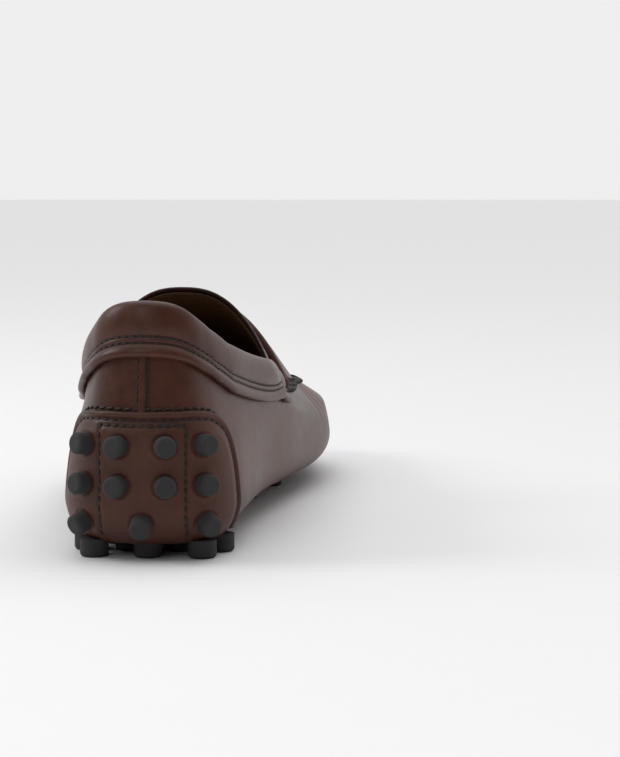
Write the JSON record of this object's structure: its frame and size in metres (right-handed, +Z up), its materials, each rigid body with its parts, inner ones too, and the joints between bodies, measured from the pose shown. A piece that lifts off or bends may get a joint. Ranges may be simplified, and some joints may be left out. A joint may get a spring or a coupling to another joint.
{
  "type": "driving moccasin",
  "caption": "Low slip-on driving moccasin for a left foot: soft leather wrap, apron with tongue, saddle strap, stitched collar band, and rubber studs under the ball and up the back of the heel.",
  "frame": {"origin": "on the ground, under the middle of the shoe's outer box", "axes": "+Y to the toe, +X to the inner (big toe) side of this left shoe, +Z up"},
  "size_m": [0.1015, 0.288, 0.0873],
  "materials": {
    "counter_board": "stiffened fibre board, matte",
    "foam": "soft foam, matte",
    "lining_leather": "tan-brown lining leather, matte",
    "pad_leather": "dark brown leather, semi-matte",
    "stud_rubber": "matte black-grey rubber",
    "thread": "waxed dark brown thread",
    "trim_leather": "smooth dark reddish-brown calf, soft sheen, dark cut edges",
    "upper_leather": "smooth dark reddish-brown calf, soft sheen"
  },
  "bodies": {
    "rearfoot": {"apron_crease": "upper_leather", "apron_rear": "upper_leather", "apron_thread_rear": "thread", "back_strip": "trim_leather", "collar_band": "trim_leather", "collar_band_core": "foam", "collar_foam": "foam", "collar_thread": "thread", "fore_pad_rear": "pad_leather", "fore_stud_sheet_rear": "stud_rubber", "heel_counter": "counter_board", "heel_pad": "pad_leather", "heel_pad_thread": "pad_leather", "heel_stud_sheet": "stud_rubber", "insole_foam_rear": "foam", "quarter_lining": "lining_leather", "saddle_strap": "trim_leather", "sock_rear": "lining_leather", "strap_roll_inner": "trim_leather", "strap_roll_outer": "trim_leather", "vamp_lining_crease": "lining_leather", "vamp_lining_rear": "lining_leather", "wrap_crease": "upper_leather", "wrap_rear": "upper_leather"},
    "forefoot": {"apron_front": "upper_leather", "apron_thread_front": "thread", "fore_pad_front": "pad_leather", "fore_stud_sheet_front": "stud_rubber", "insole_foam_front": "foam", "sock_front": "lining_leather", "vamp_lining_front": "lining_leather", "wrap_front": "upper_leather"}
  },
  "joints": [
    {"name": "ball_flex", "type": "hinge", "parent": "rearfoot", "child": "forefoot", "pos_m": [0, 0.059, 0.01], "axis": [1, 0, 0], "range_deg": [0, 30], "stiffness_Nm_per_rad": 0.6, "deforming": ["apron_crease", "vamp_lining_crease", "wrap_crease"]}
  ]
}
